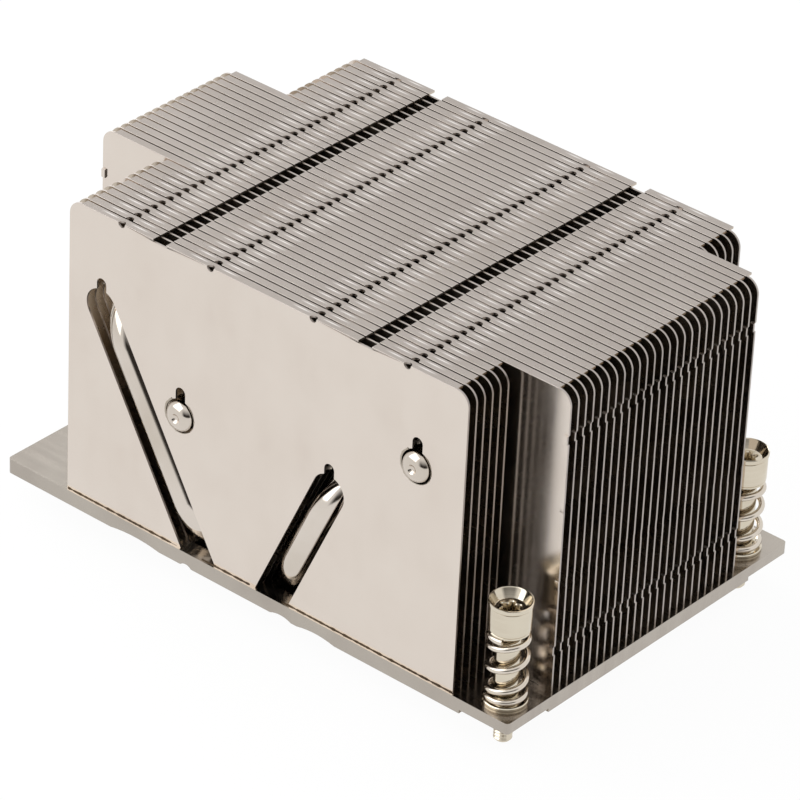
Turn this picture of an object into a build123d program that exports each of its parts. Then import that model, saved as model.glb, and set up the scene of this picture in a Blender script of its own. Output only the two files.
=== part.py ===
from build123d import *
import math
import os

# Passive heatsink for a two-unit-high server: a stack of folded sheet fins on a
# flat plate, four soldered heat pipes and four spring-loaded captive screws.
# Millimetres. X runs along the fins, Y across them and Z up. The origin is the
# middle of the plate's flat underside, which meets the processor's lid.

# Base plate
plate_length = 120.0
plate_width = 79.0
plate_thickness = 3.0
plate_corner_radius = 0.8
pocket_depth = 0.75           # relief under each screw, where its ring sits
pocket_length = 10.9          # along X, at the two right-hand corners
pocket_width = 11.2           # along Y
pocket_radius = 2.5
relief_radius = 4.8           # the same relief at the two left-hand screws
relief_sides = 16
scallop_depth = 0.55          # shallow clearances in the front lower edge
scallop_reach = 1.4
scallop_centres = (-28.0, -15.4, 7.5, 15.8)
scallop_lengths = (12.0, 2.6, 5.0, 8.8)

# Fin stack
overall_height = 64.0
fin_count = 37
fin_thickness = 0.4
flange_gap = 0.12             # between one fin's flange and the next fin
front_setback = 0.6           # the stack's distance from the plate's edges
rear_setback = 2.55
left_setback = 1.2
right_setback = 1.0
right_short_front = 6         # fins cut short for the screws, counted from the
right_short_rear = 5          # front and the rear at each end of the stack
left_short_front = 11
left_short_rear = 10
screw_left_room = 4.15        # from a screw's head to the ends of the short fins
screw_right_room = 3.75
screw_left_side_room = 3.5    # from a head to the long fins beside it
screw_right_side_room = 3.35
fin_corner_radius = 2.8       # on the outer fins
inner_corner_cut = 1.7        # on the fins between them
flange_inset = 2.8            # the flanges stop short of the fin's ends
window_offset = 23.8          # two gaps in each top flange
window_length = 3.1

# Heat pipes
pipe_radius = 3.0
pipe_sides = 12               # the round tube is drawn with twelve flats
pipe_bend_radius = 9.0
pipe_bend_steps = 4           # straight lengths in each bend
pipe_centre_x = -0.55         # the rear pair is the front pair turned about here
tall_run_margin = 7.9         # from the left ends of the short fins
tall_run_height = 44.9
tall_foot_offset = 13.0
short_run_offset = 17.55
short_run_height = 30.65
short_foot_offset = 5.65
groove_depth = 2.2
groove_clearance = 0.1
pipe_tip_proud = 1.4          # closed end beyond the far fin
pipe_tip_taper = 1.6
pipe_tip_radius = 1.7
slot_clearance = 0.6
slot_flange_clearance = 1.0
hole_clearance = 0.25
outer_hole_sides = 20         # round openings are drawn with straight sides
inner_hole_sides = 6
cutout_clearance = 0.2
slotted_fins = 6              # fins that each pair of pipes climbs through
notch_width = 2.3             # solder notch above each hole in the outer fins
notch_height = 5.9            # its top above the hole's centre

# Captive screws
screw_right_inset = 5.4       # from the plate's ends
screw_left_inset = 6.6
screw_centre_y = -0.8         # the rear screws mirror the front ones about here
head_radius = 3.85
head_sides = 20
head_top = 23.9
head_height = 6.3
funnel_radius = 3.6
funnel_floor_radius = 2.5
funnel_depth = 1.7
recess_radius = 1.6
recess_valley_radius = 1.15
recess_lobes = 6
recess_depth = 2.4
shank_radius = 2.35
shank_sides = 16
shank_clearance = 0.3
thread_radius = 1.7
thread_tip = -5.5
neck_radius = 1.3
ring_clearance = 0.05
ring_thickness = 0.6
ring_play = 0.05
ring_radius = 3.2
ring_sides = 8
ring_gap = 1.6
washer_radius = 4.1
washer_thickness = 0.6
washer_sides = 16
spring_radius = 4.0
spring_wire = 1.2
spring_turns = 2.4            # open turns between the two closed ends
spring_closed_turns = 0.9     # at each end
spring_start = -140           # where the wire starts, in degrees from +X
spring_steps = 10             # straight lengths in each turn
wire_sides = 4

# Places that follow from the sizes above
fin_pitch = (plate_width - front_setback - rear_setback) / fin_count
front_face = -plate_width / 2 + front_setback
rear_face = front_face + (fin_count - 1) * fin_pitch + fin_thickness
pipe_centre_y = (front_face + rear_face) / 2
evaporator_height = plate_thickness - groove_depth + pipe_radius
riser_y = front_face + pipe_radius
flange_length = fin_pitch - flange_gap
evaporator_end = front_face + (fin_count - slotted_fins - 1) * fin_pitch
cutout_top = evaporator_height + pipe_radius + cutout_clearance
washer_top = plate_thickness + washer_thickness
head_bottom = head_top - head_height
slot_radius = pipe_radius + slot_clearance
hole_radius = pipe_radius + hole_clearance
shank_hole_radius = shank_radius + shank_clearance
ring_top = pocket_depth - ring_play
ring_bottom = ring_top - ring_thickness
screw_right_x = plate_length / 2 - screw_right_inset
screw_left_x = screw_left_inset - plate_length / 2
front_right_y = front_face + right_short_front * fin_pitch - screw_right_side_room - head_radius
front_left_y = front_face + left_short_front * fin_pitch - screw_left_side_room - head_radius
long_left = left_setback - plate_length / 2
long_right = plate_length / 2 - right_setback
short_left = screw_left_x + head_radius + screw_left_room
short_right = screw_right_x - head_radius - screw_right_room
tall_run_offset = pipe_centre_x - short_left - tall_run_margin

# Foot and run of each pipe as places in a fin's plane (x, z)
front_tall_foot = (pipe_centre_x - tall_foot_offset, evaporator_height)
front_tall_run = (pipe_centre_x - tall_run_offset, tall_run_height)
front_short_foot = (pipe_centre_x + short_foot_offset, evaporator_height)
front_short_run = (pipe_centre_x + short_run_offset, short_run_height)
rear_tall_foot = (pipe_centre_x + tall_foot_offset, evaporator_height)
rear_tall_run = (pipe_centre_x + tall_run_offset, tall_run_height)
rear_short_foot = (pipe_centre_x - short_foot_offset, evaporator_height)
rear_short_run = (pipe_centre_x - short_run_offset, short_run_height)
front_pipes = ((front_tall_foot, front_tall_run), (front_short_foot, front_short_run))
rear_pipes = ((rear_tall_foot, rear_tall_run), (rear_short_foot, rear_short_run))

screw_places = {
    "front_right": (screw_right_x, front_right_y),
    "rear_right": (screw_right_x, 2 * screw_centre_y - front_right_y),
    "front_left": (screw_left_x, front_left_y),
    "rear_left": (screw_left_x, 2 * screw_centre_y - front_left_y),
}


def save(name, solid):
    solid.label = name
    export_step(solid, f"parts/{name}.step")


def skin(rings):
    """A solid of flat faces, closed over rings that have equal numbers of points."""
    faces = [Face(Wire.make_polygon(ring)) for ring in (rings[0], rings[-1])]
    for near, far in zip(rings, rings[1:]):
        for n in range(len(near)):
            faces.append(Face(Wire.make_polygon([near[n - 1], near[n], far[n], far[n - 1]])))
    return Solid(Shell(faces))


def tube_rings(points, radius, sides, up):
    """The section at each point of a bent line, mitred where the line turns."""
    heading = (points[1] - points[0]).normalized()
    across = heading.cross(up).normalized()
    upright = across.cross(heading)
    ring = []
    for n in range(sides):
        angle = 2 * math.pi * n / sides
        ring.append(points[0] + (upright * math.cos(angle) + across * math.sin(angle)) * radius)
    rings = [ring]
    for n in range(1, len(points)):
        heading = (points[n] - points[n - 1]).normalized()
        onward = heading
        if n < len(points) - 1:
            onward = (points[n + 1] - points[n]).normalized()
        mitre = heading + onward
        ring = [p + heading * ((points[n] - p).dot(mitre) / heading.dot(mitre)) for p in ring]
        rings.append(ring)
    return rings


# Base plate: milled from 3 mm stock, with a groove on top for each pipe
def base_plate():
    outline = RectangleRounded(plate_length, plate_width, plate_corner_radius)
    plate = extrude(outline, plate_thickness)
    for side in (-1, 1):
        corner = Pos(plate_length / 2, side * plate_width / 2)
        pocket = corner * RectangleRounded(2 * pocket_length, 2 * pocket_width, pocket_radius)
        plate -= extrude(pocket, pocket_depth)
    for x, y in screw_places.values():
        plate -= extrude(Pos(x, y) * Circle(shank_hole_radius), plate_thickness)
        if x < 0:
            relief = Pos(x, y) * RegularPolygon(relief_radius, relief_sides)
            plate -= extrude(relief, pocket_depth)
    length = evaporator_end - riser_y
    groove = Box(2 * (pipe_radius + groove_clearance), length, groove_depth)
    groove_z = plate_thickness - groove_depth / 2
    front_y = (riser_y + evaporator_end) / 2
    rear_y = 2 * pipe_centre_y - front_y
    for foot, run in front_pipes:
        plate -= Pos(foot[0], front_y, groove_z) * groove
    for foot, run in rear_pipes:
        plate -= Pos(foot[0], rear_y, groove_z) * groove
    for centre, length in zip(scallop_centres, scallop_lengths):
        radius = (length**2 / 4 + scallop_depth**2) / (2 * scallop_depth)
        cutter = Rot(90, 0, 0) * Cylinder(radius, 2 * scallop_reach)
        plate -= Pos(centre, -plate_width / 2, scallop_depth - radius) * cutter
    return plate


# Fins: stamped sheet, folded at the top and bottom, the folds bridging to the
# next fin. The outer six on each side are slotted where the pipes climb, and
# the rest stand over the pipes on the plate.
def fin_ends(index):
    """A fin's left and right ends, short where it would run into a screw."""
    left_long = left_short_front <= index < fin_count - left_short_rear
    right_long = right_short_front <= index < fin_count - right_short_rear
    return (long_left if left_long else short_left), (long_right if right_long else short_right)


def pipes_at(index):
    """The pipes that climb in this fin's plane, and those that pass through it."""
    if index < slotted_fins:
        return front_pipes, rear_pipes
    if index >= fin_count - slotted_fins:
        return rear_pipes, front_pipes
    return (), front_pipes + rear_pipes


def slot_shape(foot, run):
    """A slot that follows a pipe's rise, open at the fin's lower edge."""
    rise = math.atan2(run[1] - foot[1], run[0] - foot[0])
    reach = math.dist(foot, run)
    lead = 2 * plate_thickness
    body = Pos((reach - lead) / 2, 0) * Rectangle(reach + lead, 2 * slot_radius)
    return Pos(*foot) * Rot(0, 0, math.degrees(rise)) * body


def round_shape(place, radius, outer):
    """A round opening, drawn more finely in the two outer fins."""
    sides = outer_hole_sides if outer else inner_hole_sides
    return Pos(*place) * RegularPolygon(radius, sides, major_radius=False)


def foot_openings(index):
    """Where the pipes interrupt a fin's lower edge, from left to right."""
    climbing, passing = pipes_at(index)
    if climbing:
        side = slot_radius + slot_flange_clearance
        return sorted((foot[0] - side, foot[0] + side) for foot, run in climbing)
    side = pipe_radius + cutout_clearance
    left_pair = (front_tall_foot[0] - side, rear_short_foot[0] + side)
    right_pair = (front_short_foot[0] - side, rear_tall_foot[0] + side)
    return [left_pair, right_pair]


def fin_web(index):
    """The flat of one fin, drawn in the plane of x and z."""
    left, right = fin_ends(index)
    height = overall_height - plate_thickness
    web = Pos((left + right) / 2, plate_thickness + height / 2) * Rectangle(right - left, height)
    top_corners = web.vertices().group_by(Axis.Y)[-1]
    outer = index in (0, fin_count - 1)
    if outer:
        web = fillet(top_corners, fin_corner_radius)
    else:
        web = chamfer(top_corners, inner_corner_cut)
    climbing, passing = pipes_at(index)
    for foot, run in climbing:
        web -= slot_shape(foot, run)
        web -= round_shape(run, slot_radius, outer)
    for foot, run in passing:
        web -= round_shape(run, hole_radius, outer)
    if not climbing:
        rise = cutout_top - plate_thickness
        for start, end in foot_openings(index):
            middle = ((start + end) / 2, plate_thickness + rise / 2)
            web -= Pos(*middle) * Rectangle(end - start, rise)
    if outer:
        for foot, run in climbing + passing:
            middle = (run[0], run[1] + notch_height / 2)
            web -= Pos(*middle) * Rectangle(notch_width, notch_height)
    return web


def flange(left, right, breaks, y):
    """A fold's flat in plan, in the stretches left between its breaks."""
    marks = [left]
    for start, end in breaks:
        marks += [start, end]
    marks.append(right)
    tabs = Sketch()
    for start, end in zip(marks[::2], marks[1::2]):
        tabs += Pos((start + end) / 2, y + flange_length / 2) * Rectangle(end - start, flange_length)
    return tabs


def fin(index):
    y = front_face + index * fin_pitch
    left, right = fin_ends(index)
    sheet = extrude(Plane((0, y, 0), x_dir=(1, 0, 0), z_dir=(0, -1, 0)) * fin_web(index), -fin_thickness)
    windows = [(side * window_offset - window_length / 2, side * window_offset + window_length / 2)
               for side in (-1, 1)]
    top = flange(left + flange_inset, right - flange_inset, windows, y)
    openings = foot_openings(index)
    foot = flange(left + flange_inset, right - flange_inset, [(openings[0][0], openings[-1][1])], y)
    sheet += Pos(0, 0, overall_height - fin_thickness) * extrude(top, fin_thickness)
    sheet += Pos(0, 0, plate_thickness) * extrude(foot, fin_thickness)
    return sheet


# Heat pipes: bent round tube, closed and drawn in at both ends. Each one lies in
# its groove, climbs in the slots behind an outer face and crosses every fin.
def pipe_path(foot, run):
    """The tube's centre line, its two bends drawn in short straight lengths."""
    foot_end = Vector(foot[0], evaporator_end - pipe_tip_taper, foot[1])
    foot_corner = Vector(foot[0], riser_y, foot[1])
    run_corner = Vector(run[0], riser_y, run[1])
    run_end = Vector(run[0], rear_face + pipe_tip_proud - pipe_tip_taper, run[1])
    up = (run_corner - foot_corner).normalized()
    along = Vector(0, 1, 0)
    points = [foot_end]
    for corner, side in ((foot_corner, 1), (run_corner, -1)):
        centre = corner + (along + up * side) * pipe_bend_radius
        for step in range(pipe_bend_steps + 1):
            angle = math.pi / 2 * step / pipe_bend_steps
            turn = angle if side > 0 else math.pi / 2 - angle
            outward = along * math.sin(turn) + up * side * math.cos(turn)
            points.append(centre - outward * pipe_bend_radius)
    points.append(run_end)
    return points, up


def heat_pipe(foot, run, rear):
    points, up = pipe_path(foot, run)
    rings = tube_rings(points, pipe_radius, pipe_sides, up)
    taper = Vector(0, pipe_tip_taper, 0)
    shrink = pipe_tip_radius / pipe_radius
    first = [points[0] + taper + (p - points[0]) * shrink for p in rings[0]]
    last = [points[-1] + taper + (p - points[-1]) * shrink for p in rings[-1]]
    pipe = skin([first] + rings + [last])
    if rear:
        pipe = Pos(2 * pipe_centre_x, 2 * pipe_centre_y) * Rot(0, 0, 180) * pipe
    return pipe


# Captive screws: turned steel, six-lobe drive at the bottom of a funnel
def flat_ring(radius, z):
    """The corners of a level section of the screw's head."""
    turns = [2 * math.pi * n / head_sides for n in range(head_sides)]
    return [Vector(radius * math.cos(turn), radius * math.sin(turn), z) for turn in turns]


def captive_screw():
    neck_top = ring_top + ring_play
    neck_bottom = ring_bottom - ring_play
    screw = Pos(0, 0, thread_tip) * extrude(Circle(thread_radius), neck_bottom - thread_tip)
    screw += Pos(0, 0, neck_bottom) * extrude(Circle(neck_radius), neck_top - neck_bottom)
    shank = RegularPolygon(shank_radius, shank_sides)
    screw += Pos(0, 0, neck_top) * extrude(shank, head_bottom - neck_top)
    head = Pos(0, 0, head_bottom) * extrude(RegularPolygon(head_radius, head_sides), head_height)
    funnel = [(funnel_floor_radius, head_top - funnel_depth), (funnel_radius, head_top)]
    head -= skin([flat_ring(radius, z) for radius, z in funnel])
    floor = Plane.XY.offset(head_top - funnel_depth)
    star = []
    for step in range(2 * recess_lobes):
        radius = recess_valley_radius if step % 2 else recess_radius
        angle = math.pi * step / recess_lobes
        star.append((radius * math.cos(angle), radius * math.sin(angle)))
    recess = floor * make_face(Polyline(*star, close=True))
    return screw + head - extrude(recess, -recess_depth)


# Washers: each spring's seat on the plate
def washer():
    outline = RegularPolygon(washer_radius, washer_sides)
    hole = RegularPolygon(shank_hole_radius, washer_sides, major_radius=False)
    return extrude(outline - hole, washer_thickness)


# Springs: music wire with a closed turn at each end
def spring():
    coil_radius = spring_radius - spring_wire / 2
    low = washer_top + spring_wire / 2
    high = head_bottom - spring_wire / 2
    open_rise = high - low - 2 * spring_closed_turns * spring_wire
    steps = round((spring_turns + 2 * spring_closed_turns) * spring_steps)
    points = []
    for step in range(steps + 1):
        turns = step / spring_steps
        open_turns = min(max(turns - spring_closed_turns, 0), spring_turns)
        closed_turns = turns - open_turns
        z = low + closed_turns * spring_wire + open_turns * open_rise / spring_turns
        angle = 2 * math.pi * turns + math.radians(spring_start)
        points.append(Vector(coil_radius * math.cos(angle), coil_radius * math.sin(angle), z))
    return skin(tube_rings(points, spring_wire / 2, wire_sides, Vector(0, 0, 1)))


# Retaining rings: open clips under the plate that keep the screws captive
def retaining_ring():
    bore = RegularPolygon(neck_radius + ring_clearance, ring_sides, major_radius=False)
    ring = RegularPolygon(ring_radius, ring_sides) - bore
    ring -= Pos(ring_radius / 2, 0) * Rectangle(ring_radius, ring_gap)
    return extrude(ring, ring_thickness)


os.makedirs("parts", exist_ok=True)
save("base_plate", base_plate())
for number in range(fin_count):
    save(f"fin_{number + 1:02d}", fin(number))
save("front_tall_pipe", heat_pipe(front_tall_foot, front_tall_run, False))
save("front_short_pipe", heat_pipe(front_short_foot, front_short_run, False))
save("rear_tall_pipe", heat_pipe(front_tall_foot, front_tall_run, True))
save("rear_short_pipe", heat_pipe(front_short_foot, front_short_run, True))
screw_shape = captive_screw()
spring_shape = spring()
for place, (x, y) in screw_places.items():
    save(f"{place}_screw", Pos(x, y) * screw_shape)
    save(f"{place}_spring", Pos(x, y) * spring_shape)
    save(f"{place}_washer", Pos(x, y, plate_thickness) * washer())
    save(f"{place}_ring", Pos(x, y, ring_bottom) * retaining_ring())
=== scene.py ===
import bmesh
import bpy
import math
from mathutils import Matrix, Vector


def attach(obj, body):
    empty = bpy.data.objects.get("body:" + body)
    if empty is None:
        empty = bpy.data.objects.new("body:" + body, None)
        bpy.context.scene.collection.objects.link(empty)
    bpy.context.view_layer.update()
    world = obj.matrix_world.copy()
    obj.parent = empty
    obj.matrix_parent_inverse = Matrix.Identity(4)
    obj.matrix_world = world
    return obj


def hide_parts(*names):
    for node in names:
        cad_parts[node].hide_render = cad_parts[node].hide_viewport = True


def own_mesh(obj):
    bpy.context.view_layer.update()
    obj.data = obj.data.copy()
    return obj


# A passive heatsink for a two-unit-high server. Sizes in the mesh code are in
# millimetres, and each mesh is brought to metres as it is made.
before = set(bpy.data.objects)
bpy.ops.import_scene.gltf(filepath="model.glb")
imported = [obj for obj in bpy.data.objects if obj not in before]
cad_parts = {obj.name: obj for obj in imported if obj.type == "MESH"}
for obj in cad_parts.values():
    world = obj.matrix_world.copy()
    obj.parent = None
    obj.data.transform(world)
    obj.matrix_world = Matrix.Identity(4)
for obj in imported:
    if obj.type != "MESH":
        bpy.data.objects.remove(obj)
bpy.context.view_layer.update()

# Camera, floor and light
# A long lens looks down on the front right-hand corner, over a white board with
# two large soft lamps. The sky is white but for a dim patch, low at the right
# front, which gives the bright pipes, domes and screws their dark sides.
camera_data = bpy.data.cameras.new("camera")
camera_data.lens = 239.62
camera_data.sensor_width = 36
camera = bpy.data.objects.new("camera", camera_data)
camera.location = (0.516041, -0.626996, 0.537999)
camera.rotation_euler = (1.00643037, -0.0409724, 0.71450527)
bpy.context.scene.collection.objects.link(camera)
bpy.context.scene.camera = camera
bpy.context.scene.view_settings.view_transform = "Standard"


def white_to_eye(tree, lit, output, rays):
    """Shows white to these rays and lit to all others. Its result sets how white."""
    path = tree.nodes.new("ShaderNodeLightPath")
    either = path.outputs[rays[0]]
    for ray in rays[1:]:
        larger = tree.nodes.new("ShaderNodeMath")
        larger.operation = "MAXIMUM"
        tree.links.new(either, larger.inputs[0])
        tree.links.new(path.outputs[ray], larger.inputs[1])
        either = larger.outputs[0]
    share = tree.nodes.new("ShaderNodeMath")
    share.operation = "MULTIPLY"
    tree.links.new(either, share.inputs[0])
    white = tree.nodes.new("ShaderNodeEmission")
    mix = tree.nodes.new("ShaderNodeMixShader")
    tree.links.new(share.outputs[0], mix.inputs["Fac"])
    tree.links.new(lit, mix.inputs[1])
    tree.links.new(white.outputs[0], mix.inputs[2])
    tree.links.new(mix.outputs[0], output)
    return share.inputs[1]


world = bpy.data.worlds.new("studio")
bpy.context.scene.world = world
world.use_nodes = True
sky_nodes, sky_link = world.node_tree.nodes, world.node_tree.links.new
sky_axes = sky_nodes.new("ShaderNodeSeparateXYZ")
sky_link(sky_nodes.new("ShaderNodeTexCoord").outputs["Generated"], sky_axes.inputs[0])
# Along each axis of the sky, where the dim patch begins to show and where it is full.
dim_ranges = (("Z", -0.04, 0.08), ("Z", 0.85, 0.25), ("Y", 0.1, -0.2), ("X", 0.05, 0.35))
sky_dim = None
for axis, begins, full in dim_ranges:
    sky_ramp = sky_nodes.new("ShaderNodeMapRange")
    sky_ramp.inputs["From Min"].default_value = begins
    sky_ramp.inputs["From Max"].default_value = full
    sky_link(sky_axes.outputs[axis], sky_ramp.inputs["Value"])
    sky_share = sky_nodes.new("ShaderNodeMath")
    sky_share.operation = "MULTIPLY"
    sky_share.inputs[0].default_value = 1
    if sky_dim:
        sky_link(sky_dim, sky_share.inputs[0])
    sky_link(sky_ramp.outputs["Result"], sky_share.inputs[1])
    sky_dim = sky_share.outputs[0]
sky_tone = sky_nodes.new("ShaderNodeMix")
sky_tone.data_type = "RGBA"
sky_tone.inputs[6].default_value = (1, 1, 1, 1)
sky_tone.inputs[7].default_value = (0.04, 0.036, 0.032, 1)
sky_link(sky_dim, sky_tone.inputs[0])
sky_link(sky_tone.outputs[2], sky_nodes["Background"].inputs["Color"])
world_output = sky_nodes["World Output"].inputs["Surface"]
white_to_eye(world.node_tree, sky_nodes["Background"].outputs[0], world_output,
             ("Is Camera Ray", "Is Transmission Ray")).default_value = 1

floor_level = -0.0055        # the tips of the screws stand on it
floor_reach = 3
floor_mesh = bpy.data.meshes.new("floor")
floor_mesh.from_pydata([(side_x * floor_reach, side_y * floor_reach, floor_level)
                        for side_x, side_y in ((-1, -1), (1, -1), (1, 1), (-1, 1))], [], [(0, 1, 2, 3)])
floor = bpy.data.objects.new("floor", floor_mesh)
bpy.context.scene.collection.objects.link(floor)
board = bpy.data.materials.new("white board")
board.use_nodes = True
board_surface = board.node_tree.nodes["Principled BSDF"]
board_surface.inputs["Base Color"].default_value = (0.86, 0.86, 0.86, 1)
board_surface.inputs["Roughness"].default_value = 0.9
board_output = board.node_tree.nodes["Material Output"].inputs["Surface"]
white_to_eye(board.node_tree, board_surface.outputs[0], board_output,
             ("Is Camera Ray", "Is Glossy Ray", "Is Transmission Ray")).default_value = 0.95
floor_mesh.materials.append(board)

for lamp_name, place, width, power in (
    ("key lamp", (-0.55, -0.75, 0.85), 1.3, 8),
    ("side lamp", (-0.85, 0.25, 0.45), 0.5, 4),
):
    lamp_data = bpy.data.lights.new(lamp_name, "AREA")
    lamp_data.size = width
    lamp_data.energy = power
    lamp = bpy.data.objects.new(lamp_name, lamp_data)
    lamp.location = place
    aim = Vector((0, 0, 0.03)) - lamp.location
    lamp.rotation_euler = aim.to_track_quat("-Z", "Y").to_euler()
    bpy.context.scene.collection.objects.link(lamp)


# Base plate
# A 3 mm copper slab, milled on both faces and nickel plated, with a groove on
# top for each pipe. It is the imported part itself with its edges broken.
def metal(name, colour, stain, rough, grain, relief):
    """Plated metal: colour drifts to the stain, and fine grain follows one axis."""
    material = bpy.data.materials.new(name)
    material.use_nodes = True
    nodes, link = material.node_tree.nodes, material.node_tree.links.new
    place = nodes.new("ShaderNodeTexCoord").outputs["Object"]

    def noise(scale, stretch, low, high):
        mapping = nodes.new("ShaderNodeMapping")
        mapping.inputs["Scale"].default_value = stretch
        link(place, mapping.inputs["Vector"])
        texture = nodes.new("ShaderNodeTexNoise")
        texture.inputs["Scale"].default_value = scale
        texture.inputs["Detail"].default_value = 4
        link(mapping.outputs["Vector"], texture.inputs["Vector"])
        spread = nodes.new("ShaderNodeMapRange")
        spread.inputs["From Min"].default_value = 0.3
        spread.inputs["From Max"].default_value = 0.7
        spread.inputs["To Min"].default_value = low
        spread.inputs["To Max"].default_value = high
        link(texture.outputs[0], spread.inputs["Value"])
        return spread.outputs["Result"]

    surface = nodes["Principled BSDF"]
    surface.inputs["Metallic"].default_value = 1
    tint = nodes.new("ShaderNodeMix")
    tint.data_type = "RGBA"
    tint.inputs[6].default_value = (*colour, 1)
    tint.inputs[7].default_value = (*stain, 1)
    wear = nodes.new("ShaderNodeMath")
    wear.operation = "MULTIPLY"
    link(noise(90, (1, 1, 1), 0, 1), wear.inputs[0])
    link(noise(40, grain, 0.2, 1), wear.inputs[1])
    link(wear.outputs[0], tint.inputs[0])
    link(tint.outputs[2], surface.inputs["Base Color"])
    link(noise(60, grain, *rough), surface.inputs["Roughness"])
    bump = nodes.new("ShaderNodeBump")
    bump.inputs["Strength"].default_value = relief
    bump.inputs["Distance"].default_value = 0.00005
    link(noise(110, grain, 0, 1), bump.inputs["Height"])
    link(bump.outputs["Normal"], surface.inputs["Normal"])
    return material


def fit(piece, body, slot_name, *nodes):
    """Hands a finished piece over to the body it moves with."""
    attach(piece, body)
    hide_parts(*nodes)


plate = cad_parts["base_plate"]
plate.data.materials.clear()
plate.data.materials.append(
    metal("milled nickel", (0.46, 0.42, 0.37), (0.38, 0.34, 0.30), (0.14, 0.26), (1, 12, 1), 0.1))
plate_weld = plate.modifiers.new("weld", "WELD")
plate_weld.merge_threshold = 0.00001
plate_bevel = plate.modifiers.new("broken edges", "BEVEL")
plate_bevel.width = 0.00015
plate_bevel.segments = 2
plate_bevel.limit_method = "ANGLE"
plate_bevel.angle_limit = math.radians(40)

# Fins
# Stamped from 0.4 mm sheet with relief holes and windows, folded at the top and
# bottom so that each one bridges to the next, then stacked, soldered to the
# plate and nickel plated.
fin_base = 3.0
fin_top = 64.0
fin_total = 37
fin_pitch = 2.05
sheet_thickness = 0.4
stack_front = -38.9
stack_rear = stack_front + (fin_total - 1) * fin_pitch + sheet_thickness
long_left, short_left = -58.8, -45.4
long_right, short_right = 59.0, 47.0
fold_radius = 0.08            # outside of the fold
fold_steps = 5
fold_room = 1.0               # between a fold's end and a pipe's opening
flat_end = 1.66               # how far the folded flats reach back
corner_radius = 2.8
relief_places = (-32.9, -11.8, 12.0, 33.3)
relief_half = 0.8             # half the relief hole's length along the fold
relief_bite = 0.78            # how far it cuts into the web and the flat
relief_bite_outer = 0.3       # on the last fin, where the holes are only dents
highlight_middle = 3.4           # from a relief hole to the middle of its painted highlights
highlight_half = 2.8
window_places = (-23.8, 23.8)
window_half = 1.55
window_drop = 0.5             # the web's edge in a window, below the top
pipe_radius = 3.0
slot_radius = 3.6
hole_radius = 3.4
notch_half = 1.15             # solder notch above each opening
notch_height = 5.9
tab_places = ((11.5, 0.36), (25.0, 0.06), (41.0, 0.03), (54.7, 0.38))    # height, push
tab_half = 0.95               # the spacing tabs lanced into the long fins' ends
tab_length = 0.8
tab_slope = 0.15
front_tall = ((-13.55, 3.8), (-37.5, 44.9))     # each pipe's foot and run in x and z
front_short = ((5.1, 3.8), (17.0, 30.65))
pipe_centre_x = -0.55         # the rear pair is the front pair turned half round about here


def turned_about(places):
    """The same places in x and z for the rear pair, in the same order."""
    return tuple((2 * pipe_centre_x - x, z) for x, z in places)


rear_tall, rear_short = turned_about(front_tall), turned_about(front_short)


def arc(x, z, radius, start, end, steps):
    """Points along an arc, with its angles in degrees."""
    turns = [math.radians(start + (end - start) * n / steps) for n in range(steps + 1)]
    return [(x + radius * math.cos(a), z + radius * math.sin(a)) for a in turns]


def notch(x, z):
    """The solder notch's outline, from its right foot over the top to its left."""
    return arc(x, z + notch_height - notch_half, notch_half, 0, 180, 8)


def round_opening(run):
    """A hole for a pipe with its notch on top."""
    lean = math.degrees(math.asin(notch_half / hole_radius))
    return notch(*run) + arc(*run, hole_radius, 90 + lean, 450 - lean, 30)


def slot_edge(foot, run):
    """A slot from the fin's lower edge up to the pipe's run, from right to left."""
    rise = math.degrees(math.atan2(run[1] - foot[1], run[0] - foot[0]))
    lean = math.degrees(math.asin(notch_half / slot_radius))
    drop = []
    for side in (rise - 90, rise + 90):
        x, z = arc(*foot, slot_radius, side, side, 1)[0]
        back = (z - fin_base) / math.tan(math.radians(rise))
        drop.append((x - back, fin_base))
    right = arc(*run, slot_radius, rise - 90, 90 - lean, 14)
    left = arc(*run, slot_radius, 90 + lean, rise + 90, 14)
    return [drop[0]] + right + notch(*run) + left + [drop[1]]


def bite(x, level, direction, deep):
    """Half of a relief hole, cut into an edge at that level, from left to right."""
    points = []
    for n in range(7):
        turn = math.pi * n / 6
        across = x - relief_half * math.cos(turn)
        points.append((across, level + direction * deep * math.sin(turn)))
    return points


def upper_breaks(left, right):
    """What interrupts the upper fold, from left to right."""
    reliefs = [(x, relief_half, False) for x in relief_places]
    windows = [(x, window_half, True) for x in window_places]
    return sorted(reliefs + windows)


def lower_break(feet):
    """Where the lower fold stops and starts again, round the pipes' openings."""
    return feet[-1][-1][0] - fold_room, feet[0][0][0] + fold_room


def tab_cuts(end, inward):
    """The cuts for the spacing tabs in a long fin's end, from the bottom up."""
    cuts = []
    if end in (long_left, long_right):
        bottom = end + inward * tab_length
        for z, push in tab_places:
            low, high = z - tab_half, z + tab_half
            cuts += [(end, low), (bottom, low), (bottom, high), (end, high)]
    return cuts


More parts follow.
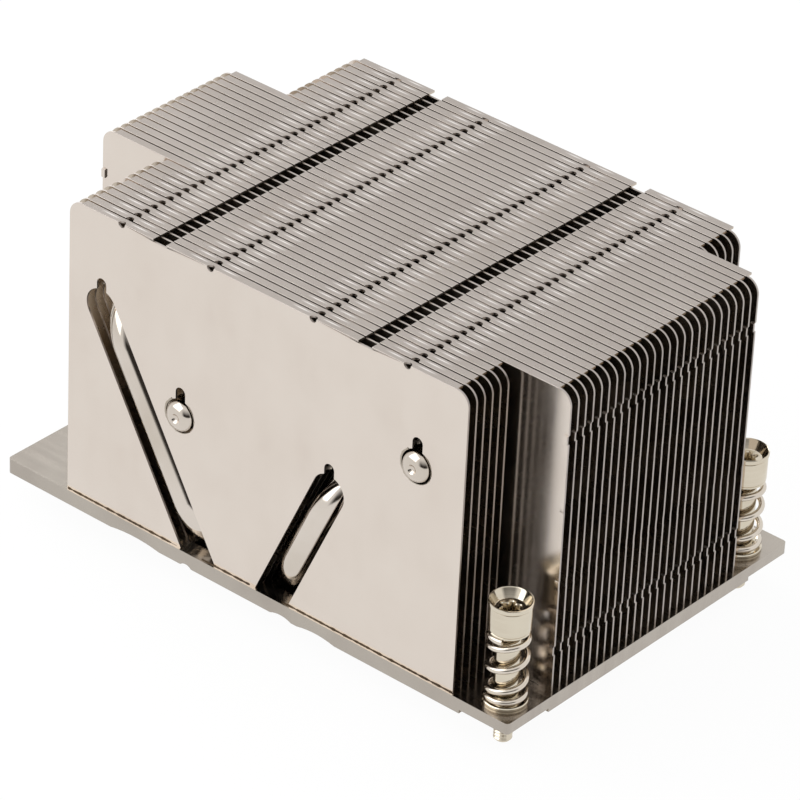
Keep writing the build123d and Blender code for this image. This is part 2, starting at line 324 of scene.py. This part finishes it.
def web_outline(left, right, feet, deep):
    """The web of a fin: up its left end, along the top, down, and back below."""
    shoulder = fin_top - fold_radius
    foot = fin_base + fold_radius
    line = [(left + corner_radius, foot), (left + corner_radius, fin_base), (left, fin_base)]
    line += tab_cuts(left, 1)
    line += arc(left + corner_radius, fin_top - corner_radius, corner_radius, 180, 90, 8)
    line.append((left + corner_radius, shoulder))
    for x, half, window in upper_breaks(left, right):
        if window:
            line += [(x - half, fin_top - window_drop), (x + half, fin_top - window_drop)]
        else:
            line += bite(x, shoulder, -1, deep)
    line.append((right - corner_radius, shoulder))
    line += arc(right - corner_radius, fin_top - corner_radius, corner_radius, 90, 0, 8)
    line += reversed(tab_cuts(right, -1))
    line += [(right, fin_base), (right - corner_radius, fin_base), (right - corner_radius, foot)]
    start, end = lower_break(feet)
    line += [(end, foot), (end, fin_base)]
    for opening in feet:
        line += opening
    return line + [(start, fin_base), (start, foot)]


def flat_outlines(left, right, deep):
    """The upper flat in plan, in one loop between each pair of windows."""
    loops = []
    start = left + corner_radius
    edge = [(start, fold_radius)]
    for x, half, window in upper_breaks(left, right):
        if window:
            edge.append((x - half, fold_radius))
            loops.append(edge + [(x - half, flat_end), (start, flat_end)])
            start = x + half
            edge = [(start, fold_radius)]
        else:
            edge += bite(x, fold_radius, 1, deep)
    end = right - corner_radius
    loops.append(edge + [(end, fold_radius), (end, flat_end), (start, flat_end)])
    return loops


def stamped(loops, thickness):
    """A flat sheet with these outlines and holes, as a bmesh centred on z = 0."""
    flat = bpy.data.curves.new("outline", "CURVE")
    flat.dimensions = "2D"
    flat.fill_mode = "BOTH"
    flat.extrude = thickness / 2
    for loop in loops:
        spline = flat.splines.new("POLY")
        spline.points.add(len(loop) - 1)
        spline.use_cyclic_u = True
        for point, (x, y) in zip(spline.points, loop):
            point.co = (x, y, 0, 1)
    drawn = bpy.data.objects.new("outline", flat)
    bpy.context.scene.collection.objects.link(drawn)
    bpy.context.view_layer.update()
    graph = bpy.context.evaluated_depsgraph_get()
    mesh = bpy.data.meshes.new_from_object(drawn.evaluated_get(graph))
    bpy.data.objects.remove(drawn)
    sheet = bmesh.new()
    sheet.from_mesh(mesh)
    bmesh.ops.remove_doubles(sheet, verts=sheet.verts, dist=0.001)
    bmesh.ops.recalc_face_normals(sheet, faces=sheet.faces)
    return sheet


def add_fold(sheet, start, end, level, direction):
    """The outside of the bend between the web and a flat, over one unbroken stretch."""
    rows = []
    for x in (start, end):
        row = []
        for n in range(fold_steps + 1):
            turn = math.pi / 2 * n / fold_steps
            y = fold_radius - fold_radius * math.cos(turn)
            z = level - direction * (fold_radius - fold_radius * math.sin(turn))
            row.append(sheet.verts.new((x, y, z)))
        row.append(sheet.verts.new((x, fold_radius, level - direction * fold_radius)))
        rows.append(row)
    sheet.faces.new(rows[0])
    sheet.faces.new(reversed(rows[1]))
    for n in range(len(rows[0])):
        quad = (rows[0][n - 1], rows[1][n - 1], rows[1][n], rows[0][n])
        sheet.faces.new(quad).smooth = 0 < n <= fold_steps


def add_tab(sheet, end, inward, z, push):
    """A spacing tab: a short strip of the end pushed forward out of the web."""
    low, high = z - tab_half, z + tab_half
    section = [(low, 0), (low + tab_slope, -push), (high - tab_slope, -push), (high, 0)]
    section += [(height, y + sheet_thickness) for height, y in reversed(section)]
    rows = [[sheet.verts.new((x, y, height)) for height, y in section]
            for x in (end, end + inward * tab_length)]
    sheet.faces.new(rows[0])
    sheet.faces.new(reversed(rows[1]))
    for n in range(len(section)):
        sheet.faces.new((rows[0][n - 1], rows[1][n - 1], rows[1][n], rows[0][n]))


def fin_sheet(name, left, right, holes, feet, deep):
    """One fin with its face on y = 0, and the folded parts marked for their finish."""
    openings = [round_opening(run) for foot, run in holes]
    sheet = stamped([web_outline(left, right, feet, deep)] + openings, sheet_thickness)
    upright = Matrix.Rotation(math.pi / 2, 4, "X")
    sheet.transform(Matrix.Translation((0, sheet_thickness / 2, 0)) @ upright)
    for end, inward in ((left, 1), (right, -1)):
        if end in (long_left, long_right):
            for z, push in tab_places:
                add_tab(sheet, end, inward, z, push)
    web_faces = len(sheet.faces)
    edges = [left + corner_radius]
    for x, half, window in upper_breaks(left, right):
        edges += [x - half, x + half]
    edges.append(right - corner_radius)
    stretches = list(zip(edges[::2], edges[1::2]))
    for start, end in stretches:
        add_fold(sheet, start, end, fin_top, 1)
    break_start, break_end = lower_break(feet)
    low_stretches = [(left + corner_radius, break_start), (break_end, right - corner_radius)]
    for start, end in low_stretches:
        add_fold(sheet, start, end, fin_base, -1)
    flats = [(fin_top - sheet_thickness / 2, flat_outlines(left, right, deep))]
    lower = [[(a, fold_radius), (b, fold_radius), (b, flat_end), (a, flat_end)]
             for a, b in low_stretches]
    flats.append((fin_base + sheet_thickness / 2, lower))
    for level, loops in flats:
        part = stamped(loops, sheet_thickness)
        part.transform(Matrix.Translation((0, 0, level)))
        part_mesh = bpy.data.meshes.new("flat")
        part.to_mesh(part_mesh)
        sheet.from_mesh(part_mesh)
    bmesh.ops.recalc_face_normals(sheet, faces=sheet.faces)
    sheet.transform(Matrix.Scale(0.001, 4))
    mesh = bpy.data.meshes.new(name)
    sheet.to_mesh(mesh)
    mesh.set_sharp_from_angle(angle=math.radians(35))
    marks = {"front": [], "back": [], "folded": [], "under": []}
    for n, face in enumerate(mesh.polygons):
        middle = face.center * 1000
        up = face.normal.z if middle.z > (fin_base + fin_top) / 2 else -face.normal.z
        marks["front"].append(n < web_faces and face.normal.y < -0.5)
        marks["back"].append(n < web_faces and face.normal.y > 0.5)
        marks["folded"].append(n >= web_faces and (up > 0.1 or face.normal.y < -0.1))
        marks["under"].append(n >= web_faces and not marks["folded"][-1])
    for mark, values in marks.items():
        mesh.attributes.new(mark, "BOOLEAN", "FACE").data.foreach_set("value", values)
    piece = bpy.data.objects.new(name, mesh)
    bpy.context.scene.collection.objects.link(piece)
    return piece


def add_painted_highlights(material, bright, strength):
    """Paints highlights on the flats beside the relief holes by brightening their colour there."""
    nodes, link = material.node_tree.nodes, material.node_tree.links.new
    axes = nodes.new("ShaderNodeSeparateXYZ")
    link(nodes.new("ShaderNodeTexCoord").outputs["Object"], axes.inputs[0])

    def math_node(operation, first, second):
        node = nodes.new("ShaderNodeMath")
        node.operation = operation
        link(first, node.inputs[0])
        if isinstance(second, float):
            node.inputs[1].default_value = second
        else:
            link(second, node.inputs[1])
        return node.outputs[0]

    def hump(value, middle, half):
        """One in the middle, falling to nothing at half this width to each side."""
        away = math_node("ABSOLUTE", math_node("SUBTRACT", value, middle), 0.0)
        fall = nodes.new("ShaderNodeMapRange")
        fall.interpolation_type = "SMOOTHSTEP"
        fall.inputs["From Min"].default_value = half
        fall.inputs["From Max"].default_value = 0
        link(away, fall.inputs["Value"])
        return fall.outputs["Result"]

    along = None
    for x in relief_places:
        away = math_node("ABSOLUTE", math_node("SUBTRACT", axes.outputs["X"], x * 0.001), 0.0)
        beside = hump(away, highlight_middle * 0.001, highlight_half * 0.001)
        along = math_node("MAXIMUM", along, beside) if along else beside
    behind_front = math_node("SUBTRACT", axes.outputs["Y"], stack_front * 0.001)
    row = math_node("DIVIDE", behind_front, fin_pitch * 0.001)
    across = hump(math_node("FRACT", row, 0.0), 0.52, 0.14)      # shares of the pitch
    patchy = nodes.new("ShaderNodeTexNoise")
    patchy.inputs["Scale"].default_value = 700
    share = math_node("MULTIPLY", math_node("MULTIPLY", along, across), patchy.outputs[0])
    strong = math_node("MULTIPLY", share, strength)
    surface = nodes["Principled BSDF"].inputs["Base Color"]
    blend = nodes.new("ShaderNodeMix")
    blend.data_type = "RGBA"
    link(surface.links[0].from_socket, blend.inputs[6])
    blend.inputs[7].default_value = (*bright, 1)
    link(strong, blend.inputs[0])
    link(blend.outputs[2], surface)


def socket(tree, name, kind):
    """Adds a named input to a node tree and tells its identifier."""
    return tree.interface.new_socket(name=name, in_out="INPUT", socket_type=kind).identifier


row_tree = bpy.data.node_groups.new("fin row", "GeometryNodeTree")
row_sockets = {
    "Sheet": socket(row_tree, "Sheet", "NodeSocketGeometry"),
    "First": socket(row_tree, "First", "NodeSocketVector"),
    "Count": socket(row_tree, "Count", "NodeSocketInt"),
    "Pitch": socket(row_tree, "Pitch", "NodeSocketVector"),
    "Face": socket(row_tree, "Face", "NodeSocketMaterial"),
    "Fold": socket(row_tree, "Fold", "NodeSocketMaterial"),
    "Edge": socket(row_tree, "Edge", "NodeSocketMaterial"),
    "Inside": socket(row_tree, "Inside", "NodeSocketMaterial"),
}
row_tree.interface.new_socket(name="Row", in_out="OUTPUT", socket_type="NodeSocketGeometry")
row_in = row_tree.nodes.new("NodeGroupInput")
row_line = row_tree.nodes.new("GeometryNodeMeshLine")
row_points = row_tree.nodes.new("GeometryNodeInstanceOnPoints")
row_number = row_tree.nodes.new("GeometryNodeStoreNamedAttribute")
row_number.domain = "INSTANCE"
row_number.data_type = "INT"
row_number.inputs["Name"].default_value = "number"
row_index = row_tree.nodes.new("GeometryNodeInputIndex")
row_real = row_tree.nodes.new("GeometryNodeRealizeInstances")
row_last = row_tree.nodes.new("ShaderNodeMath")
row_last.operation = "SUBTRACT"
row_last.inputs[1].default_value = 1
row_out = row_tree.nodes.new("NodeGroupOutput")


def marked(mark, kind="BOOLEAN"):
    """An attribute that the sheets carry, read inside the fin row."""
    node = row_tree.nodes.new("GeometryNodeInputNamedAttribute")
    node.data_type = kind
    node.inputs["Name"].default_value = mark
    return node.outputs["Attribute"]


def both(first, second, operation="AND"):
    """Two marks of the sheets joined into one."""
    node = row_tree.nodes.new("FunctionNodeBooleanMath")
    node.operation = operation
    row_tree.links.new(first, node.inputs[0])
    row_tree.links.new(second, node.inputs[1])
    return node.outputs[0]


def not_number(value):
    """Whether a fin isn't the one with this number in its row."""
    node = row_tree.nodes.new("FunctionNodeCompare")
    node.data_type = "INT"
    node.operation = "NOT_EQUAL"
    row_tree.links.new(marked("number", "INT"), node.inputs[2])
    if value:
        row_tree.links.new(value, node.inputs[3])
    return node.outputs[0]


for source, target in (
    (row_in.outputs["Count"], row_line.inputs["Count"]),
    (row_in.outputs["First"], row_line.inputs["Start Location"]),
    (row_in.outputs["Pitch"], row_line.inputs["Offset"]),
    (row_line.outputs["Mesh"], row_points.inputs["Points"]),
    (row_in.outputs["Sheet"], row_points.inputs["Instance"]),
    (row_points.outputs["Instances"], row_number.inputs["Geometry"]),
    (row_index.outputs["Index"], row_number.inputs["Value"]),
    (row_number.outputs["Geometry"], row_real.inputs["Geometry"]),
    (row_in.outputs["Count"], row_last.inputs[0]),
):
    row_tree.links.new(source, target)
# Faces that look onto a neighbouring fin, and the flats' hidden sides, take the Inside finish: painted shade
# between the fins.
inside = both(both(marked("front"), not_number(None)),
              both(marked("back"), not_number(row_last.outputs[0])), "OR")
row_flow = row_real.outputs["Geometry"]
for finish, where in (
    ("Edge", None),
    ("Face", both(marked("front"), marked("back"), "OR")),
    ("Fold", marked("folded")),
    ("Inside", both(inside, marked("under"), "OR")),
):
    row_finish = row_tree.nodes.new("GeometryNodeSetMaterial")
    row_tree.links.new(row_flow, row_finish.inputs["Geometry"])
    row_tree.links.new(row_in.outputs[finish], row_finish.inputs["Material"])
    if where:
        row_tree.links.new(where, row_finish.inputs["Selection"])
    row_flow = row_finish.outputs["Geometry"]
row_tree.links.new(row_flow, row_out.inputs["Row"])


def settle(piece, tree, sockets, **values):
    """Runs a node tree over a piece and keeps the result as its own mesh."""
    modifier = piece.modifiers.new(tree.name, "NODES")
    modifier.node_group = tree
    for name, value in values.items():
        modifier[sockets[name]] = value
    bpy.context.view_layer.update()
    graph = bpy.context.evaluated_depsgraph_get()
    made = bpy.data.meshes.new_from_object(piece.evaluated_get(graph))
    piece.modifiers.clear()
    piece.data = made


face_nickel = metal("fin face", (0.715, 0.645, 0.58), (0.675, 0.60, 0.535), (0.15, 0.22), (4, 1, 1), 0.0)
# The folds and flats have a rougher grain than the faces. Their colour is a darker copy of the fin nickel:
# painted shade on the stack's top.
fold_nickel_painted_shade = metal("fin fold painted shade", (0.45, 0.405, 0.37), (0.39, 0.345, 0.31), (0.24, 0.32), (3, 1, 1), 0.0)
# Painted highlights: pale streaks beside the relief holes, mixed into the fold's colour.
add_painted_highlights(fold_nickel_painted_shade, (0.92, 0.88, 0.85), 1.7)
edge_nickel = metal("fin cut edge", (0.47, 0.425, 0.39), (0.33, 0.295, 0.27), (0.30, 0.45), (1, 1, 8), 0.15)
# Painted shade: the faces between the fins are a darker copy of the fin nickel.
inner_nickel_painted_shade = metal("fin inside painted shade", (0.56, 0.49, 0.41), (0.44, 0.38, 0.31), (0.20, 0.32), (1, 1, 3), 0.1)
# The other fins pass over the pipes' feet with two straight cuts.
cut_top = 7.0
right_cut = [(15.65, fin_base), (15.65, cut_top), (1.9, cut_top), (1.9, fin_base)]
pipe_cuts = [right_cut, list(reversed(turned_about(right_cut)))]
front_slots = [slot_edge(*front_short), slot_edge(*front_tall)]
rear_slots = [slot_edge(*rear_tall), slot_edge(*rear_short)]
front_pair, rear_pair = [front_tall, front_short], [rear_tall, rear_short]
for row_name, first, count, left, right, holes, feet in (
    ("front_slotted_fins", 0, 6, short_left, short_right, rear_pair, front_slots),
    ("front_screw_fins", 6, 5, short_left, long_right, front_pair + rear_pair, pipe_cuts),
    ("middle_fins", 11, 16, long_left, long_right, front_pair + rear_pair, pipe_cuts),
    ("rear_screw_fins", 27, 4, short_left, long_right, front_pair + rear_pair, pipe_cuts),
    ("rear_screw_slotted_fin", 31, 1, short_left, long_right, front_pair, rear_slots),
    ("rear_slotted_fins", 32, 4, short_left, short_right, front_pair, rear_slots),
    ("rear_outer_fin", 36, 1, short_left, short_right, front_pair, rear_slots),
):
    deep = relief_bite_outer if row_name == "rear_outer_fin" else relief_bite
    row = fin_sheet(row_name, left, right, holes, feet, deep)
    first_y = (stack_front + first * fin_pitch) * 0.001
    settle(row, row_tree, row_sockets, First=(0.0, first_y, 0.0), Count=count,
           Pitch=(0.0, fin_pitch * 0.001, 0.0), Face=face_nickel, Fold=fold_nickel_painted_shade,
           Edge=edge_nickel, Inside=inner_nickel_painted_shade)
    fit(row, "heatsink", "fins", *[f"fin_{first + n + 1:02d}" for n in range(count)])

# Heat pipes
# Copper tube of 6 mm, bent, closed at both ends, soldered in and nickel plated.
# Each end is drawn in to a dome with a small sealing dimple in its middle.
bend_radius = 9.0
riser_y = stack_front + pipe_radius
foot_end_y, run_end_y = 21.0, 35.1       # where the front pair's domes begin
stack_middle = (stack_front + stack_rear) / 2
dome_profile = ((3.0, 0), (2.96, 0.25), (2.85, 0.55), (2.62, 0.9), (2.3, 1.2), (1.9, 1.42),
                (1.55, 1.55), (1.25, 1.6), (1.05, 1.56), (0.85, 1.4), (0.65, 1.15), (0.4, 1.0),
                (0.15, 0.95))
tube_sides = 28

tube_tree = bpy.data.node_groups.new("bent tube", "GeometryNodeTree")
tube_sockets = {
    "Line": socket(tube_tree, "Line", "NodeSocketGeometry"),
    "Bend": socket(tube_tree, "Bend", "NodeSocketFloat"),
    "Radius": socket(tube_tree, "Radius", "NodeSocketFloat"),
    "Sides": socket(tube_tree, "Sides", "NodeSocketInt"),
    "Caps": socket(tube_tree, "Caps", "NodeSocketBool"),
    "Metal": socket(tube_tree, "Metal", "NodeSocketMaterial"),
}
tube_tree.interface.new_socket(name="Tube", in_out="OUTPUT", socket_type="NodeSocketGeometry")
tube_in = tube_tree.nodes.new("NodeGroupInput")
tube_curve = tube_tree.nodes.new("GeometryNodeMeshToCurve")
tube_bend = tube_tree.nodes.new("GeometryNodeFilletCurve")
tube_bend.mode = "POLY"
tube_bend.inputs["Count"].default_value = 14
tube_round = tube_tree.nodes.new("GeometryNodeCurvePrimitiveCircle")
tube_mesh = tube_tree.nodes.new("GeometryNodeCurveToMesh")
tube_smooth = tube_tree.nodes.new("GeometryNodeSetShadeSmooth")
tube_metal = tube_tree.nodes.new("GeometryNodeSetMaterial")
tube_out = tube_tree.nodes.new("NodeGroupOutput")
for source, target in (
    (tube_in.outputs["Line"], tube_curve.inputs["Mesh"]),
    (tube_curve.outputs["Curve"], tube_bend.inputs["Curve"]),
    (tube_in.outputs["Bend"], tube_bend.inputs["Radius"]),
    (tube_bend.outputs["Curve"], tube_mesh.inputs["Curve"]),
    (tube_in.outputs["Sides"], tube_round.inputs["Resolution"]),
    (tube_in.outputs["Radius"], tube_round.inputs["Radius"]),
    (tube_round.outputs["Curve"], tube_mesh.inputs["Profile Curve"]),
    (tube_in.outputs["Caps"], tube_mesh.inputs["Fill Caps"]),
    (tube_mesh.outputs["Mesh"], tube_smooth.inputs["Geometry"]),
    (tube_smooth.outputs["Geometry"], tube_metal.inputs["Geometry"]),
    (tube_in.outputs["Metal"], tube_metal.inputs["Material"]),
    (tube_metal.outputs["Geometry"], tube_out.inputs["Tube"]),
):
    tube_tree.links.new(source, target)


def line_piece(name, points):
    """A bare line through these points, for a tube to follow."""
    mesh = bpy.data.meshes.new(name)
    steps = [(n, n + 1) for n in range(len(points) - 1)]
    mesh.from_pydata([Vector(point) * 0.001 for point in points], steps, [])
    piece = bpy.data.objects.new(name, mesh)
    bpy.context.scene.collection.objects.link(piece)
    return piece


def turned(rings, sides):
    """A bmesh through rings of points that share a number of sides, capped at each end."""
    form = bmesh.new()
    rows = [[form.verts.new(point) for point in ring] for ring in rings]
    for low, high in zip(rows, rows[1:]):
        for n in range(sides):
            form.faces.new((low[n - 1], low[n], high[n], high[n - 1])).smooth = True
    form.faces.new(rows[0])
    form.faces.new(rows[-1])
    return form


pipe_nickel = metal("pipe nickel", (0.66, 0.60, 0.54), (0.55, 0.49, 0.42), (0.07, 0.13), (1, 1, 1), 0.03)
for pipe_name, (foot, run), rear in (
    ("front_tall_pipe", front_tall, False),
    ("front_short_pipe", front_short, False),
    ("rear_tall_pipe", rear_tall, True),
    ("rear_short_pipe", rear_short, True),
):
    facing = -1 if rear else 1
    riser, foot_end, run_end = [stack_middle + facing * (y - stack_middle)
                                for y in (riser_y, foot_end_y, run_end_y)]
    route = [(foot[0], foot_end, foot[1]), (foot[0], riser, foot[1]),
             (run[0], riser, run[1]), (run[0], run_end, run[1])]
    pipe = line_piece("visual_" + pipe_name, route)
    settle(pipe, tube_tree, tube_sockets, Bend=bend_radius * 0.001, Radius=pipe_radius * 0.001,
           Sides=tube_sides, Caps=False, Metal=pipe_nickel)
    whole = bmesh.new()
    whole.from_mesh(pipe.data)
    for x, y, z in (route[0], route[-1]):
        rings = []
        for radius, out in dome_profile:
            ring = []
            for n in range(tube_sides):
                turn = 2 * math.pi * n / tube_sides
                across, up = radius * math.cos(turn), radius * math.sin(turn)
                ring.append(Vector((x + across, y + facing * out, z + up)) * 0.001)
            rings.append(ring)
        dome = turned(rings, tube_sides)
        dome_mesh = bpy.data.meshes.new("dome")
        dome.to_mesh(dome_mesh)
        whole.from_mesh(dome_mesh)
    bmesh.ops.recalc_face_normals(whole, faces=whole.faces)
    whole.to_mesh(pipe.data)
    fit(pipe, "heatsink", "pipes", pipe_name)

# Solder
# Tin solder squeezed out round the pipes' ends, left rough and browned by the flux,
# and a near-black line along the outer fins' feet. Each lies on the faces as a thin skin.
solder_tin = metal("solder", (0.50, 0.45, 0.39), (0.34, 0.29, 0.22), (0.28, 0.48), (1, 1, 1), 0.4)
dark_foot_finish = metal("dark foot line", (0.11, 0.08, 0.05), (0.04, 0.03, 0.025), (0.35, 0.55), (1, 1, 1), 0.4)
skin = 0.08
collar_inner, collar_outer = 3.3, 3.5
collar_start, collar_sweep = 125, 290     # in degrees, open under the notch
collar_steps = 60
foot_stretches = ((-45.2, -19.5), (-12.0, -0.5), (7.5, 46.8))
foot_height = 0.17


def place_form(name, form, x, y, material):
    """Makes a piece of a bmesh in millimetres, stood at x and y."""
    bmesh.ops.recalc_face_normals(form, faces=form.faces)
    form.transform(Matrix.Scale(0.001, 4) @ Matrix.Translation((x, y, 0)))
    mesh = bpy.data.meshes.new(name)
    form.to_mesh(mesh)
    mesh.materials.append(material)
    mesh.set_sharp_from_angle(angle=math.radians(35))
    piece = bpy.data.objects.new(name, mesh)
    bpy.context.scene.collection.objects.link(piece)
    return piece


def lay_solder(name, loops, y, material):
    """A thin skin of solder with this outline, upright in the plane at y."""
    form = stamped(loops, skin)
    form.transform(Matrix.Rotation(math.pi / 2, 4, "X"))
    piece = place_form(name, form, 0, y, material)
    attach(piece, "heatsink")


def ragged(n, size):
    """A small repeatable unevenness for the solder's edge."""
    return size * (math.sin(2.3 * n) + math.sin(5.1 * n + 1) + math.sin(0.9 * n + 2)) / 3


for pair, skin_y, suffix in (
    (rear_pair, stack_front - skin / 2, ""),
    (front_pair, stack_rear + skin / 2, "_rear"),
):
    for m, (foot, (x, z)) in enumerate(pair):
        collar = arc(x, z, collar_inner, collar_start + collar_sweep, collar_start, collar_steps)
        for n in range(collar_steps + 1):
            turn = math.radians(collar_start + collar_sweep * n / collar_steps)
            thicker = 0.16 * math.cos(turn - 2.9)       # to the left, where it ran down
            reach = collar_outer + thicker + ragged(n + 20 * m, 0.1)
            collar.append((x + reach * math.cos(turn), z + reach * math.sin(turn)))
        lay_solder(f"visual_collar_{m}{suffix}", [collar], skin_y, solder_tin)
    for m, stretch in enumerate(foot_stretches):
        if suffix:
            stretch = [2 * pipe_centre_x - x for x in reversed(stretch)]
        start, end = stretch
        steps = round((end - start) * 2)
        upper = [(start + n / 2, fin_base + foot_height + ragged(n + 9 * m, 0.12))
                 for n in range(steps + 1)]
        foot_line = upper + [(end, fin_base), (start, fin_base)]
        lay_solder(f"visual_foot_{m}{suffix}", [foot_line], skin_y, dark_foot_finish)

# Captive screws
# Turned steel, bright nickel plated: a tall head with a funnel that leads the
# driver into a six-lobe recess, a plain shank and a short thread underneath.
screw_sides = 48
screw_places = {
    "front_right": (54.6, -33.8),
    "rear_right": (54.6, 32.2),
    "front_left": (-53.4, -23.7),
    "rear_left": (-53.4, 22.1),
}
thread_pitch = 0.7
screw_profile = [(1.15, -5.5), (1.4, -5.3)]
level = -5.15
while level < -0.5:
    crest = (level + thread_pitch * 0.3, level + thread_pitch * 0.5)
    screw_profile += [(1.42, level), (1.7, crest[0]), (1.7, crest[1])]
    level += thread_pitch
# Neck, shank, head with its groove, rim, and down the funnel to the recess.
screw_profile += [(1.42, -0.25), (1.7, 0.0), (1.7, 0.05), (1.3, 0.07), (1.3, 0.73), (2.25, 0.75),
                  (2.35, 0.85), (2.35, 17.55), (3.5, 17.6), (3.75, 17.75), (3.75, 18.0), (3.62, 18.1),
                  (3.62, 18.25), (3.85, 18.4), (3.85, 22.75), (3.8, 22.85), (3.84, 22.95), (4.0, 23.1),
                  (4.03, 23.7), (3.95, 23.87), (3.85, 23.9), (3.77, 23.85), (3.7, 23.7), (2.75, 22.25),
                  (2.6, 22.2)]
recess_levels = ((2.15, 1.5, 22.2), (1.95, 1.3, 22.0), (1.9, 1.25, 19.85), (1.6, 1.0, 19.8))
screw_nickel = metal("turned nickel", (0.66, 0.60, 0.49), (0.56, 0.49, 0.39), (0.06, 0.13), (1, 1, 30), 0.08)


def lobed(radius, valley, z):
    """A level ring of the six-lobe recess."""
    ring = []
    for n in range(screw_sides):
        turn = 2 * math.pi * n / screw_sides
        reach = (radius + valley) / 2 + (radius - valley) / 2 * math.cos(6 * turn)
        ring.append((reach * math.cos(turn), reach * math.sin(turn), z))
    return ring


def lathe(profile, sides):
    """Level rings for a turned shape, from its radii and heights."""
    turns = [2 * math.pi * n / sides for n in range(sides)]
    return [[(radius * math.cos(turn), radius * math.sin(turn), z) for turn in turns]
            for radius, z in profile]


for corner, (x, y) in screw_places.items():
    rings = lathe(screw_profile, screw_sides) + [lobed(*recess) for recess in recess_levels]
    screw = place_form(f"visual_{corner}_screw", turned(rings, screw_sides), x, y, screw_nickel)
    fit(screw, f"{corner}_fastener", "screws", f"{corner}_screw")

# Springs
# Music wire of 1.2 mm, nickel plated, wound with a closed turn at each end. Each
# one stands on its washer and flattens as its screw is pressed down.
coil_radius = 3.4
wire_radius = 0.6
coil_low, coil_high = 4.2, 17.0
coil_start = math.radians(-140)
open_turns, closed_turns = 2.4, 0.9
coil_steps = 36
spring_wire = metal("spring wire", (0.68, 0.62, 0.54), (0.53, 0.46, 0.39), (0.05, 0.12), (1, 1, 4), 0.08)
open_rise = coil_high - coil_low - 2 * closed_turns * 2 * wire_radius
coil_total = round((open_turns + 2 * closed_turns) * coil_steps)
for corner, (x, y) in screw_places.items():
    helix = []
    for step in range(coil_total + 1):
        turns = step / coil_steps
        spread_turns = min(max(turns - closed_turns, 0), open_turns)
        z = coil_low + (turns - spread_turns) * 2 * wire_radius + spread_turns * open_rise / open_turns
        turn = 2 * math.pi * turns + coil_start
        helix.append((x + coil_radius * math.cos(turn), y + coil_radius * math.sin(turn), z))
    spring = line_piece(f"visual_{corner}_spring", helix)
    settle(spring, tube_tree, tube_sockets, Bend=0.0, Radius=wire_radius * 0.001, Sides=14, Caps=True,
           Metal=spring_wire)
    fit(spring, "heatsink", "springs", f"{corner}_spring")
    # Of its 14 mm under the head, the spring keeps 10 when the screw is fully down.
    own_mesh(spring)

# Washers and retaining rings
# Each spring's washer is turned, with a rounded rim. The rings are spring-steel
# clips in the relief under the plate, open on one side, and keep the screws in.
washer_profile = ((2.65, 3.1), (2.75, 3.0), (4.0, 3.0), (4.1, 3.1), (4.1, 3.45), (3.95, 3.6),
                  (2.75, 3.6), (2.65, 3.5))
ring_outer, ring_bore = 3.2, 1.35
ring_thickness, ring_level = 0.6, 0.4
ring_steel = metal("ring steel", (0.42, 0.38, 0.34), (0.30, 0.26, 0.23), (0.25, 0.38), (1, 1, 1), 0.15)
for corner, (x, y) in screw_places.items():
    form = bmesh.new()
    rows = [[form.verts.new(point) for point in level] for level in lathe(washer_profile, screw_sides)]
    for low, high in zip([rows[-1]] + rows, rows):
        for n in range(screw_sides):
            form.faces.new((low[n - 1], low[n], high[n], high[n - 1])).smooth = True
    washer = place_form(f"visual_{corner}_washer", form, x, y, screw_nickel)
    fit(washer, "heatsink", "washers", f"{corner}_washer")

    outline = arc(0, 0, ring_outer, 15, 345, 30) + arc(0, 0, ring_bore, 330, 30, 20)
    clip = stamped([outline], ring_thickness)
    clip.transform(Matrix.Translation((0, 0, ring_level)))
    ring = place_form(f"visual_{corner}_ring", clip, x, y, ring_steel)
    fit(ring, f"{corner}_clip", "rings", f"{corner}_ring")
